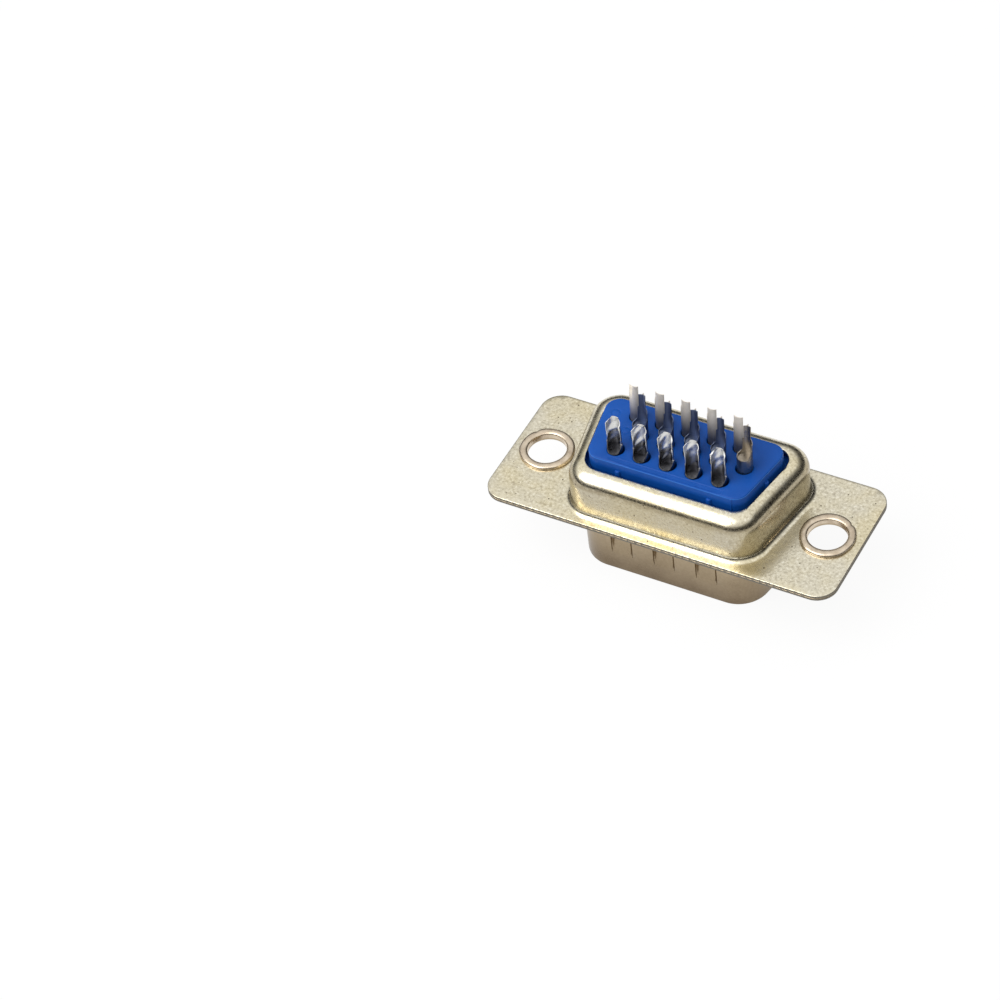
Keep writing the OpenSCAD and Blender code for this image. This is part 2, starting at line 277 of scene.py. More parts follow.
def flange_sheet(z0, z1, hole_r, corners, reach, wall=False):
    """Both faces and the rim of one flange: a rounded rectangle less a D window and two holes. The
    outer edge is a quarter round of radius FLANGE_EDGE on each face."""
    c, n = outline(FLANGE_CORNERS, 0.0)
    wc, wn = outline(corners, SIDE, arc=18, marks=DIMPLE_MARKS)
    outer = [c + (FLANGE_R - k * FLANGE_EDGE) * n for k in ROUND_SHARES]
    holes = [ring_points(s * HOLE_X, 0, hole_r, HOLE_POINTS) for s in (-1, 1)]

    def depth(xy):
        """Distance to the outer edge, and to the nearest hole or window."""
        hole_gap = np.min([np.hypot(xy[:, 0] - s * HOLE_X, xy[:, 1]) for s in (-1, 1)], 0) - hole_r
        window_gap = -inside_depth(xy, corners, reach, SIDE)
        return inside_depth(xy, FLANGE_CORNERS, FLANGE_R, 0.0), np.minimum(hole_gap, window_gap)

    loose = filled_grid(*FLANGE_GRID)
    loose = loose[np.all(np.array(depth(loose)) > FLANGE_CLEAR, 0)]

    def face(z, side):
        def height(xy):
            g = np.clip(depth(xy)[0], 0, FLANGE_EDGE)
            fall = np.sqrt(np.maximum(FLANGE_EDGE**2 - (FLANGE_EDGE - g) ** 2, 0))
            return z - side * (FLANGE_EDGE - fall)

        loops = outer + [wc + reach * wn] + holes
        return flat_region(loops, loose, lambda m: np.all(np.array(depth(m)) > 0, 0), height)

    rim = band(outer[0], (z0 + FLANGE_EDGE, z1 - FLANGE_EDGE))
    bores = [band(h, (z0, z1)) for h in holes] if wall else []
    return [face(z0, -1), face(z1, 1), rim] + bores


def on_flange_edge(middle):
    """True for face middles on the cut edge all round the flange: less than 0.02 inside it, at the
    height of the two sheets."""
    near = inside_depth(middle[:, :2], FLANGE_CORNERS, FLANGE_R, 0.0) < 0.02
    return near & (middle[:, 2] > FRONT_Z - 0.01) & (middle[:, 2] < REAR_Z + 0.01)


print("flange grid steps by", FLANGE_GRID[-1], "mm")


# %% [markdown]
# ## Materials
# The plating is thin and dull in patches. Its colour, roughness and bump all come from noise read
# on Object coordinates, so the grain stays on the part. Sizes of noise are in metres: a scale of
# 4000 gives cells of about a quarter of a millimetre. A small class keeps the recipes below short.
# %% Node helpers
class Recipe:
    """A small builder for one node material."""

    def __init__(self, name, metallic, roughness, **sockets):
        self.material = bpy.data.materials.new(name)
        self.material.use_nodes = True
        self.tree = self.material.node_tree
        self.shader = self.tree.nodes["Principled BSDF"]
        self.shader.inputs["Metallic"].default_value = metallic
        self.shader.inputs["Roughness"].default_value = roughness
        for key, value in sockets.items():
            self.shader.inputs[key.replace("_", " ")].default_value = value
        self.place = self.tree.nodes.new("ShaderNodeTexCoord").outputs["Object"]

    def link(self, out, into):
        self.tree.links.new(out, into)

    def feed(self, socket, item):
        """Links another node's output to a socket, or sets a number or colour on it."""
        if hasattr(item, "is_linked"):
            self.link(item, socket)
        else:
            socket.default_value = item if isinstance(item, (int, float)) else (*item, 1)

    def noise(self, scale, detail=3.0, rough=0.55, distort=0.0):
        node = self.tree.nodes.new("ShaderNodeTexNoise")
        self.link(self.place, node.inputs["Vector"])
        for key, value in (("Scale", scale), ("Detail", detail), ("Roughness", rough), ("Distortion", distort)):
            node.inputs[key].default_value = value
        return node.outputs["Fac"]

    def cells(self, scale):
        """Distance to the nearest of scattered points."""
        node = self.tree.nodes.new("ShaderNodeTexVoronoi")
        self.link(self.place, node.inputs["Vector"])
        node.inputs["Scale"].default_value = scale
        return node.outputs["Distance"]

    def ramp(self, value, stops):
        """A colour ramp through stops of (position, grey or colour)."""
        node = self.tree.nodes.new("ShaderNodeValToRGB")
        bar = node.color_ramp
        while len(bar.elements) < len(stops):
            bar.elements.new(0.5)
        for element, (at, colour) in zip(bar.elements, stops):
            colour = (colour,) * 3 if isinstance(colour, (int, float)) else colour
            element.position, element.color = at, (*colour, 1)
        self.link(value, node.inputs["Fac"])
        return node.outputs["Color"]

    def mix(self, factor, a, b):
        """Colour a where the factor is 0, b where it is 1."""
        node = self.tree.nodes.new("ShaderNodeMix")
        node.data_type = "RGBA"
        for index, item in ((0, factor), (6, a), (7, b)):
            self.feed(node.inputs[index], item)
        return node.outputs[2]

    def span(self, value, low, high, to_low, to_high):
        """Maps the range low..high to to_low..to_high, and stops at its ends."""
        node = self.tree.nodes.new("ShaderNodeMapRange")
        self.link(value, node.inputs["Value"])
        for key, item in zip(("From Min", "From Max", "To Min", "To Max"), (low, high, to_low, to_high)):
            node.inputs[key].default_value = item
        return node.outputs["Result"]

    def height(self, low, high):
        """0 below height low in mm, 1 above height high."""
        node = self.tree.nodes.new("ShaderNodeSeparateXYZ")
        self.link(self.place, node.inputs["Vector"])
        return self.span(node.outputs["Z"], low * MM, high * MM, 0, 1)

    def math(self, kind, a, b):
        node = self.tree.nodes.new("ShaderNodeMath")
        node.operation = kind
        self.feed(node.inputs[0], a)
        self.feed(node.inputs[1], b)
        return node.outputs[0]

    def bump(self, value, strength, distance):
        """Adds a bump on top of those already there; distance in metres."""
        node = self.tree.nodes.new("ShaderNodeBump")
        node.inputs["Strength"].default_value = strength
        node.inputs["Distance"].default_value = distance
        self.link(value, node.inputs["Height"])
        if self.shader.inputs["Normal"].is_linked:
            self.link(self.shader.inputs["Normal"].links[0].from_socket, node.inputs["Normal"])
        self.link(node.outputs["Normal"], self.shader.inputs["Normal"])

    def colour(self, out):
        self.link(out, self.shader.inputs["Base Color"])

    def rough(self, out):
        self.link(out, self.shader.inputs["Roughness"])


print("recipe steps", [k for k in vars(Recipe) if not k.startswith("_")])

# %% [markdown]
# ### Plating of the rear shell
# The rear shell is pale and slightly yellow. Its flange shows a fine orange-peel mottle of light and
# dark flecks, and a few dark pits sit on the walls. The walls carry painted shade, darker and browner,
# most of all at the fold below the crest, where a band of painted dark reflection runs.
# %% Rear plating
FLECK_STOPS = [(0.38, (0.36, 0.31, 0.20)), (0.46, (0.64, 0.58, 0.42)),
               (0.56, (0.72, 0.66, 0.49)), (0.66, (0.98, 0.94, 0.80))]
WALL_SHADE_STOPS = [(0.06, 0.0), (0.2, 0.42), (0.70, 0.44), (0.77, 0.76), (0.85, 0.62), (0.92, 0.0)]


def rear_plating():
    m = Recipe("rear_plating", 1.0, 0.25)
    fleck = m.noise(4300, 4, 0.6, 0.25)
    cloud = m.noise(220, 3, 0.55)
    tint = m.mix(m.span(cloud, 0.4, 0.62, 0, 1), (0.70, 0.66, 0.55), (0.70, 0.62, 0.42))
    flat = m.mix(0.6, m.ramp(fleck, FLECK_STOPS), tint)
    waver = m.span(m.noise(500, 3, 0.6), 0.3, 0.7, -0.035, 0.035)
    # Painted shade: the walls are coloured darker and browner by height, with a painted dark reflection at the fold
    # below the crest.
    painted_wall_shade = m.ramp(m.math("ADD", m.height(REAR_Z, CREST_Z), waver), WALL_SHADE_STOPS)
    skin = m.mix(painted_wall_shade, flat, (0.33, 0.27, 0.17))
    stain = m.span(m.noise(800, 5, 0.65), 0.60, 0.75, 0, 0.5)
    pits = m.span(m.cells(1300), 0.05, 0.12, 0, 1)
    m.colour(m.mix(pits, (0.12, 0.09, 0.06), m.mix(stain, skin, (0.24, 0.18, 0.11))))
    m.rough(m.span(fleck, 0.35, 0.7, 0.34, 0.14))
    m.bump(m.noise(4300, 2, 0.6), 0.35, 0.00001)
    m.bump(m.noise(700, 3, 0.5), 0.25, 0.00003)
    return m.material


REAR_PLATING = rear_plating()
print("made", REAR_PLATING.name)

# %% [markdown]
# ### Plating of the front shell
# The mating shell is smoother and browner, and darkens toward its rim. Its curled collars, which
# stand above the rear flange, are mottled and painted lighter, a painted highlight. Height alone tells the three apart.
# %% Front plating
MATING_SHADE_Z, CURL_SHADE_Z = (-0.6, 5.2), (6.08, 6.18)


def front_plating():
    m = Recipe("front_plating", 1.0, 0.34)
    grain = m.noise(5200, 3, 0.6)
    cloud = m.noise(330, 3, 0.5)
    low = m.mix(grain, (0.115, 0.080, 0.048), (0.19, 0.138, 0.088))
    high = m.mix(grain, (0.39, 0.305, 0.195), (0.52, 0.42, 0.285))
    shade = m.math("ADD", m.height(*MATING_SHADE_Z), m.span(cloud, 0.3, 0.7, -0.12, 0.12))
    # Painted highlight: the curls are coloured lighter than the wall for the light they catch; their mottle is their
    # own.
    curl = m.mix(m.noise(1500, 4, 0.6), (0.32, 0.23, 0.15), (0.95, 0.84, 0.67))
    m.colour(m.mix(m.height(*CURL_SHADE_Z), m.mix(shade, low, high), curl))
    m.rough(m.span(cloud, 0.3, 0.7, 0.24, 0.36))
    m.bump(grain, 0.12, 0.00001)
    return m.material


FRONT_PLATING = front_plating()
print("made", FRONT_PLATING.name)

# %% [markdown]
# ### Sheared edge
# The sheets were plated first and cut out afterwards, so the edge of the flange is bare, grey and
# rough. It is a second material on the same piece, given to the faces of the rim.
# %% Sheared steel
def sheared_steel():
    m = Recipe("sheared_steel", 1.0, 0.5)
    drag = m.noise(2400, 3, 0.6)
    m.colour(m.mix(drag, (0.10, 0.09, 0.07), (0.34, 0.31, 0.26)))
    m.rough(m.span(drag, 0.3, 0.7, 0.4, 0.6))
    m.bump(drag, 0.3, 0.00001)
    return m.material


SHEARED = sheared_steel()
print("made", SHEARED.name)

# %% [markdown]
# ### Blue moulding
# The moulding is a saturated blue with a satin skin. The mould rounded its top edges, and a painted
# highlight, a paler blue line, runs along that rounding.
# %% Blue plastic
EDGE_HIGHLIGHT_H = 0.16
EDGE_HIGHLIGHT_STOPS = [(0.1, 0.0), (0.25, 1.0), (0.52, 1.0), (0.62, 0.0)]


def blue_plastic():
    m = Recipe("blue_plastic", 0.0, 0.42, Specular_IOR_Level=0.22)
    cloud = m.noise(420, 3, 0.5)
    body = m.mix(cloud, (0.0026, 0.058, 0.30), (0.006, 0.088, 0.41))
    # Painted highlight: a paler blue band along the rounded top edge.
    rim = m.ramp(m.height(BLOCK_Z - EDGE_HIGHLIGHT_H, BLOCK_Z), EDGE_HIGHLIGHT_STOPS)
    m.colour(m.mix(m.math("MULTIPLY", rim, 0.7), body, (0.035, 0.19, 0.62)))
    m.rough(m.span(m.noise(2500, 3, 0.6), 0.3, 0.7, 0.36, 0.5))
    m.bump(m.noise(5000, 2, 0.5), 0.12, 0.00001)
    m.bump(cloud, 0.2, 0.00002)
    return m.material


BLUE = blue_plastic()
print("made", BLUE.name)

# %% [markdown]
# ### Contact plating
# One strip makes the whole contact: its pin end is dipped in gold, its cup end in tin. Height along
# the contact decides which, with the change hidden in the moulding. Each row gets its own painted copy
# of the same tin: the far row painted lit, the middle row painted shade with a painted blue reflection,
# its end cup a paler painted reflection. Far and near cups also get painted shade down toward the block.
# %% Tin and gold
TIN_Z = (7.0, 7.2)
PAINTED_FOOT_SHADE = (0.13, 0.13, 0.14)


def contact_plating(name, dull, bright, rough, metal=1.0, foot=None):
    """Gold below the moulding, tin above; foot gives the two heights above the block between which
    a cup is painted darker down toward the block, as painted shade."""
    m = Recipe(name, metal, rough)
    grain = m.noise(2600, 3, 0.6, 0.3)
    tin = m.mix(grain, dull, bright)
    if foot:
        # Painted shade: the cup's colour falls to dark grey toward the block.
        tin = m.mix(m.height(BLOCK_Z + foot[0], BLOCK_Z + foot[1]), PAINTED_FOOT_SHADE, tin)
    gold = m.mix(grain, (0.78, 0.52, 0.12), (0.92, 0.68, 0.22))
    m.colour(m.mix(m.height(*TIN_Z), gold, tin))
    m.rough(m.span(grain, 0.3, 0.7, rough - 0.05, rough + 0.08))
    m.bump(grain, 0.12, 0.000006)
    return m.material


# Painted light: the rows are lit and shaded copies of one tin; far painted lit, middle painted shade with a blue
# reflection, its end cup a painted reflection.
FAR_TIN_PAINTED_LIT = contact_plating("far_tin_painted_lit", (0.78, 0.71, 0.61), (0.95, 0.89, 0.79), 0.34, 0.3, (0.7, 2.9))
MIDDLE_TIN_PAINTED_SHADE = contact_plating("middle_tin_painted_shade", (0.11, 0.14, 0.22), (0.19, 0.22, 0.31), 0.40)
END_TIN_PAINTED_REFLECTION = contact_plating("end_tin_painted_reflection", (0.27, 0.24, 0.20), (0.43, 0.39, 0.33), 0.3)
NEAR_TIN = contact_plating("near_tin", (0.60, 0.60, 0.60), (0.88, 0.88, 0.86), 0.3, 1.0, (0.2, 1.5))
print("made", [m.name for m in (FAR_TIN_PAINTED_LIT, MIDDLE_TIN_PAINTED_SHADE, END_TIN_PAINTED_REFLECTION, NEAR_TIN)])


# %% [markdown]
# ## Rear shell
# The rear shell is deep-drawn: its flange bends up through a tight root, runs up a wall and turns
# inward over a wide round crest that ends at the pierced opening. The cross-section is swept round
# the D; where the opening comes closer than the crest is wide, the arc simply ends earlier.
# %% Sweep of the rear box
LIP_R = 0.05
ARC_TOP, ARC_MIDDLE = CREST_Z - CREST_R, BOX[2] - CREST_R


def edge_at(centres, dirs, corners, r, slope):
    """Distance along each ray from its centre to another D outline, by halving an interval."""
    low, high = np.zeros(len(centres)), np.full(len(centres), 6.0)
    for _ in range(40):
        mid = (low + high) / 2
        inside = inside_depth(centres + mid[:, None] * dirs, corners, r, slope) > 0
        low, high = np.where(inside, mid, low), np.where(inside, high, mid)
    return low


def box_skin(offset, lip):
    """One skin of the box as rows of (distance along the normal, height), offset inward from the
    outer face: quarter circle at the root, straight wall, arc of the crest, flat run to the lip."""
    rows, same = [], 0 * lip
    root, arc = BOX_ROOT + offset, CREST_R - offset
    for t in np.linspace(0, np.pi / 2, 9):
        p, z = BOX[2] + BOX_ROOT - root * np.sin(t), REAR_Z + BOX_ROOT - root * np.cos(t)
        rows.append((p + same, z + same))
    for z in np.linspace(REAR_Z + BOX_ROOT, ARC_TOP, 8)[1:-1]:
        rows.append((BOX[2] - offset + same, z + same))
    end_p = lip + LIP_R
    end = np.arccos(np.clip((end_p - ARC_MIDDLE) / arc, 0, 1))
    for t in np.linspace(0, 1, 15):
        rows.append((ARC_MIDDLE + arc * np.cos(t * end), ARC_TOP + arc * np.sin(t * end)))
    for t in (0.5, 1.0):
        p = np.minimum(end_p, ARC_MIDDLE) * t + (1 - t) * ARC_MIDDLE
        p = np.where(end_p < ARC_MIDDLE, p, end_p)
        rows.append((p, ARC_TOP + np.sqrt(np.maximum(arc**2 - np.maximum(p - ARC_MIDDLE, 0) ** 2, 0))))
    return rows


def rear_box():
    """Outer and inner skins of the box as one closed band, joined at the lip by a half circle."""
    c, n = outline(BOX_CORNERS, SIDE, arc=18, marks=DIMPLE_MARKS)
    lip = edge_at(c, n, d_corners(*OPENING), OPENING[2], SIDE)
    outer, inner = box_skin(0.0, lip), box_skin(SHEET, lip)
    high, low = outer[-1][1], inner[-1][1]
    edge = [(lip + LIP_R - LIP_R * np.sin(a), high + (low - high) * (1 - np.cos(a)) / 2)
            for a in np.linspace(0, 1, 7)[1:-1] * np.pi]
    rows = outer + edge + inner[::-1]
    p, z = (np.stack([r[k] for r in rows]) for k in (0, 1))
    xy = c[None] + p[..., None] * n[None]
    return np.concatenate([xy, z[..., None]], -1).reshape(-1, 3), quads(len(rows), len(c), wrap_cols=True)


print("the crest starts", round(ARC_TOP - REAR_Z, 2), "mm above the flange")

# %% [markdown]
# The box and its flange share the columns of the outline, so they merge into one piece. The holes
# are a little wider than the collars that pass through them.
# %% Rear shell piece
COLLAR_GAP = 0.02
rear = make_piece(
    "rear_shell_skin",
    [rear_box()]
    + flange_sheet(JOINT_Z, REAR_Z, HOLE_R + SHEET + COLLAR_GAP, BOX_CORNERS, BOX[2] + BOX_ROOT, wall=True),
    REAR_PLATING,
    sheared=(SHEARED, on_flange_edge),
)
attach(rear, "root")
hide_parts("rear_shell")


# %% [markdown]
# ## Front shell
# The front shell is drawn the other way, down to the mating rim, and pressed with three ramped
# dimples on each long side that grip the socket. Each dimple is a step near the flange that runs
# out flush lower down, so it is made by pushing the wall inward by a ramp.
# %% Sweep of the mating wall
RIM_START = 0.13


def dimple_push(x, z, normal_y):
    """How far the wall is pushed in: the ramp depth at height z where x is within a dimple, and a
    fine scored line, depth e^-(d/w)^2, just outside each side of it."""
    foot = DIMPLE_TOP - DIMPLE_H
    side = DIMPLE_W / 2 + DIMPLE_SIDE
    across = np.max([np.clip((side - np.abs(x - k)) / DIMPLE_FADE, 0, 1) for k in DIMPLE_X], 0)
    ramp = np.clip((z - foot) / DIMPLE_H, 0, 1) * np.clip((DIMPLE_TOP + DIMPLE_LIP - z) / DIMPLE_FADE, 0, 1)
    from_side = np.min([np.abs(np.abs(x - k) - DIMPLE_W / 2 - SCORE_GAP) for k in DIMPLE_X], 0)
    score = SCORE_DEPTH * np.exp(-((from_side / SCORE_W) ** 2))
    score = score * np.clip((z - foot) / 0.3, 0, 1) * np.clip((DIMPLE_TOP + 0.5 - z) / 0.2, 0, 1)
    return (DIMPLE_DEPTH * across * ramp + score) * (np.abs(normal_y) > 0.999)


def mating_wall():
    """Outer and inner skins of the mating wall as one closed band, from the flange down round the rim."""
    c, n = outline(MATING_CORNERS, SIDE, arc=18, marks=DIMPLE_MARKS)
    near_step = DIMPLE_TOP + np.array([-0.05, -0.03, 0.03, 0.05])
    on_ramp = np.linspace(DIMPLE_TOP - DIMPLE_H, DIMPLE_TOP - 0.1, 6)
    heights = np.unique(np.concatenate([np.linspace(RIM_START, FRONT_Z - MATING_ROOT, 14), near_step, on_ramp]))[::-1]
    skins = []
    for offset in (0.0, SHEET):
        root = MATING_ROOT + offset
        skin = [(MATING[2] + MATING_ROOT - root * np.sin(t), FRONT_Z - MATING_ROOT + root * np.cos(t))
                for t in np.linspace(0, np.pi / 2, 8)[:-1]]
        skins.append(skin + [(MATING[2] - offset, z) for z in heights])
    r = SHEET / 2
    rim = [(MATING[2] - r + r * np.cos(a), r - r * np.sin(a)) for a in np.linspace(0, np.pi, 9)[1:-1]]
    rows = np.array(skins[0] + rim + skins[1][::-1])
    p, z = np.repeat(rows[:, :1], len(c), 1), np.repeat(rows[:, 1:], len(c), 1)
    p = p - dimple_push(c[None, :, 0] + p * n[None, :, 0], z, n[None, :, 1])
    xy = c[None] + p[..., None] * n[None]
    return np.concatenate([xy, z[..., None]], -1).reshape(-1, 3), quads(len(rows), len(c), wrap_cols=True)


print("dimples reach", DIMPLE_DEPTH, "mm in")


# %% [markdown]
# ### Drawn collars
# Round each hole the front sheet is drawn up as a short tube, passed through the rear sheet and
# curled over it. The curl is not perfect: its width wavers a little, and one side has a nick. A
# circle with a few small cosines on its radius gives that at once.
# %% Collars
NICK_DEPTH, NICK_W = 0.12, 0.07
CURL_LIFT, CURL_UNDER = 0.03, 0.10


def collar(x0, phase, nick):
    """A closed revolved profile: roll-in at the front, bore, rounded curl and its hidden underside.
    The curl's outer radius is R + a cos(2t + phase) + b cos(5t), and dips at the nick angle."""
    t = np.arange(HOLE_POINTS) * 2 * np.pi / HOLE_POINTS
    same = 0 * t
    away = np.angle(np.exp(1j * (t - nick)))
    waver = 0.035 * np.cos(2 * t + phase) + 0.018 * np.cos(5 * t + 2 * phase) + 0.012 * np.cos(9 * t)
    waver = waver - NICK_DEPTH * np.exp(-((away / NICK_W) ** 2))
    rise = 1 - 0.10 * np.exp(-((away / 0.12) ** 2)) + 0.03 * np.cos(3 * t + phase)
    rows = [(HOLE_R + SHEET - SHEET * np.sin(a) + same, JOINT_Z - SHEET * np.cos(a) + same)
            for a in np.linspace(0, np.pi / 2, 7)]
    rows += [(HOLE_R + same, z + same) for z in (JOINT_Z + 0.1, REAR_Z)]
    mid, half = (HOLE_R + CURL_R) / 2, (CURL_R - HOLE_R) / 2
    for a in np.linspace(0, 1, 15)[1:]:
        u, v = -np.cos(np.pi * a), np.sin(np.pi * a)
        out = np.sign(u) * abs(u) ** 0.75
        lift = CURL_LIFT * a + (CURL_H - CURL_LIFT * a) * v**0.55 * rise
        rows.append((mid + half * out + waver * max(0.0, a * 1.2 - 0.2), REAR_Z + lift))
    under = [(CURL_R - CURL_UNDER + waver, REAR_Z + 0.005), (HOLE_R + SHEET, REAR_Z + 0.002), (HOLE_R + SHEET, JOINT_Z)]
    rows += [(p + same, z + same) for p, z in under]
    p, z = (np.stack([r[k] for r in rows]) for k in (0, 1))
    grid = np.stack([x0 + p * np.cos(t), p * np.sin(t), z], -1)
    return grid.reshape(-1, 3), quads(len(rows), HOLE_POINTS, wrap_cols=True)


print("each curl is", round(CURL_R - HOLE_R, 2), "mm wide")

# %% [markdown]
# Wall, collars and flange are one sheet on the real part, so they are one piece here too.
# %% Front shell piece
front = make_piece(
    "front_shell_skin",
    [mating_wall(), collar(-HOLE_X, 0.6, 2.45), collar(HOLE_X, 2.1, 0.9)]
    + flange_sheet(FRONT_Z, JOINT_Z, HOLE_R + SHEET, MATING_CORNERS, MATING[2] + MATING_ROOT),
    FRONT_PLATING,
    sheared=(SHEARED, on_flange_edge),
)
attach(front, "root")
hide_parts("front_shell")

# %% [markdown]
# ## Blue moulding
# The block that the cups stand in has gently rounded edges, a shallow lowered strip along the narrow
# side, and small crush ribs on its walls. Its top is a height over a triangulated plane: rounding
# from the distance to the edge, wells from the distance to each contact.
# %% Height of the block's top
EDGE = 0.13
STRIP_X, STRIP_Y, STRIP_STEP_X = (-5.01, 5.06), (-3.26, -2.8), -2.97
STRIP_DROP, STRIP_STEP, STRIP_EDGE = 0.03, 0.025, 0.05
WELL_DROP, MARK_DEPTH, MARK_W = 0.05, 0.03, 0.06
EJECTOR_MARKS, EJECTOR_R = np.array([[-6.64, 1.74], [-4.99, 0.23]]), 0.34


def seat_gap(xy):
    """Distance from points to the nearest contact's centre."""
    return np.min([from_centre(xy, seat) for seat in SEATS], 0)


def block_height(xy):
    """Top of the block: flat, rounded over EDGE at the rim, WELL_DROP lower round each well, and cut
    down by STRIP_DROP on the strip beside the near row, by STRIP_STEP more right of its step. Two
    ejector pins left shallow rings."""
    g = np.clip(inside_depth(xy, BLOCK_CORNERS, BLOCK[2], SIDE), 0, EDGE)
    z = BLOCK_Z - EDGE + np.sqrt(np.maximum(EDGE**2 - (EDGE - g) ** 2, 0))
    z = z - WELL_DROP * np.clip(1 - (seat_gap(xy) - CUP_HOLE) / MARK_W, 0, 1) ** 2
    x, y = xy.T
    inside = [(STRIP_Y[1] - y), (x - STRIP_X[0]), (STRIP_X[1] - x)]
    on_strip = np.prod([np.clip(d / STRIP_EDGE, 0, 1) for d in inside], 0)
    drop = on_strip * (STRIP_DROP + STRIP_STEP * np.clip((x - STRIP_STEP_X) / STRIP_EDGE, 0, 1))
    ring = np.min([np.abs(from_centre(xy, mark) - EJECTOR_R) for mark in EJECTOR_MARKS], 0)
    return np.minimum(z, BLOCK_Z - drop) - MARK_DEPTH * np.clip(1 - ring / MARK_W, 0, 1)


print("block top at", round(BLOCK_Z, 2), "mm")


# %% [markdown]
# ### The block's skin
# Only the top is a free form. The walls, the hidden skirt and the bores of the wells are straight
# bands that start on the same loops of points, so everything merges into one closed skin.
# %% Block
WELL_POINTS, MARK_POINTS = 40, 24
WELL_STEPS = (0, 0.03, 0.07)
BLOCK_GRID = (-8.2, 8.3, -3.4, 3.5, 0.4)


def in_block(m):
    return inside_depth(m, BLOCK_CORNERS, BLOCK[2], SIDE)


def in_skirt(m):
    return inside_depth(m, SKIRT_CORNERS, SKIRT[2], SIDE)


def off_wells(m):
    """True outside every well; the 0.999 lets the triangles that touch a well's loop stay."""
    return seat_gap(m) > CUP_HOLE * 0.999


def top_loops():
    """Loops that the block's top must follow: wells, ejector marks, and the strip with its step."""
    loops = [ring_points(x, y, CUP_HOLE + k, WELL_POINTS) for x, y in SEATS for k in WELL_STEPS]
    loops += [ring_points(*mark, EJECTOR_R + k, MARK_POINTS) for mark in EJECTOR_MARKS for k in (-MARK_W, 0, MARK_W)]
    for inset in (0, STRIP_EDGE):
        x0, x1 = STRIP_X[0] + inset, STRIP_X[1] - inset
        y0, y1 = STRIP_Y[0] + inset / 5, STRIP_Y[1] - inset
        loops.append(np.array([[x0, y0], [x1, y0], [x1, y1], [x0, y1]]))
    x0, x1 = STRIP_STEP_X, STRIP_STEP_X + STRIP_EDGE
    y0, y1 = STRIP_Y[0] + 0.02, STRIP_Y[1] - 0.06
    return loops + [np.array([[x0, y0], [x1, y0], [x1, y1], [x0, y1]])]


def block():
    """Patches of the block: top, wall, wells, skirt, ledge and base."""
    c, n = outline(BLOCK_CORNERS, SIDE, arc=12)
    rounding = [c + (BLOCK[2] - k * EDGE) * n for k in ROUND_SHARES]
    loose = filled_grid(*BLOCK_GRID)
    loose = loose[(seat_gap(loose) > CUP_HOLE + 0.2) & (in_block(loose) > EDGE + 0.1)]
    sc, sn = outline(SKIRT_CORNERS, SIDE, arc=12)
    skirt = sc + SKIRT[2] * sn
    wells = [ring_points(x, y, CUP_HOLE, WELL_POINTS) for x, y in SEATS]
    patches = [
        flat_region(rounding + top_loops(), loose, lambda m: off_wells(m) & (in_block(m) > 0), block_height),
        band(rounding[0], (BLOCK_Z - EDGE, BLOCK_Z - 1.0, SHOULDER_Z)),
    ]
    patches += [band(ring, (BLOCK_Z - WELL_DROP, BLOCK_Z - 0.6, SHOULDER_Z)) for ring in wells]
    patches.append(band(skirt, (SHOULDER_Z, SPLIT_Z)))
    patches.append(flat_region([rounding[0], skirt], NO_POINTS,
                               lambda m: (in_block(m) < 0) & (in_skirt(m) > 0),
                               lambda xy: np.full(len(xy), SHOULDER_Z)))
    patches.append(flat_region([skirt] + wells, NO_POINTS,
                               lambda m: off_wells(m) & (in_skirt(m) > 0),
                               lambda xy: np.full(len(xy), SPLIT_Z)))
    return patches + [band(ring, (SHOULDER_Z, SPLIT_Z)) for ring in wells]


print(len(top_loops()), "loops on the top of the block")

# %% [markdown]
# ### Crush ribs
# Six ribs in the gap hold the block in the shell, and a thin one runs down its near right corner.
# Each is a small domed post set half into the wall, like a pin pressed into clay.
# %% Ribs and the moulding
RIB_R, THIN_RIB_R, RIB_POINTS = 0.26, 0.07, 20
RIB_X, RIB_Y, RIB_END_X = 4.0, BLOCK[1] - 0.05, 7.34
RIB_TOP = REAR_Z + 4.25


def rib(x, y, r=RIB_R, z1=RIB_TOP):
    """A standing rib: a cylinder with a small domed end, set half into the wall."""
    t = np.arange(RIB_POINTS) * 2 * np.pi / RIB_POINTS
    rows = [(0.0, SHOULDER_Z), (r, SHOULDER_Z), (r, z1 - 0.12), (r * 0.9, z1 - 0.04), (r * 0.6, z1), (0.0, z1)]
    grid = np.stack([level(np.stack([x + p * np.cos(t), y + p * np.sin(t)], -1), z) for p, z in rows])
    return grid.reshape(-1, 3), quads(len(rows), RIB_POINTS, wrap_cols=True)


ribs = [rib(x, y) for x in (-RIB_X, RIB_X) for y in (-RIB_Y, RIB_Y)]
ribs += [rib(-RIB_END_X, 0.0), rib(RIB_END_X, 0.0), rib(5.94, -3.37, THIN_RIB_R, BLOCK_Z - 0.05)]
rear_block = make_piece("rear_block_skin", block() + ribs, BLUE)
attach(rear_block, "root")
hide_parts("rear_insulator")

# %% [markdown]
# ### Pin face
# The front moulding sits deep in the mating wall, where only its plain face shows. Its packed solid
# is fine enough, so it keeps its own mesh and only gets the plastic.
# %% Pin face
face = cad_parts["front_insulator"]
face.data.materials.clear()
face.data.materials.append(BLUE)
print("pin face keeps its", len(face.data.polygons), "faces")


# %% [markdown]
# ## Contacts
# Each contact is strip metal rolled into a tube. Near the block the tube is closed; above it one side
# is cut away on a slant and then straight through the axis, leaving a trough for the wire, and the
# top is trimmed to a tab. A tube cut like this is a grid over height and over the part of the circle
# that is left, once for the outside and once for the inside.
# %% How much wall is left
KNEE_H, CUT_LEAD, CUT_START = 0.69, 0.12, 0.42


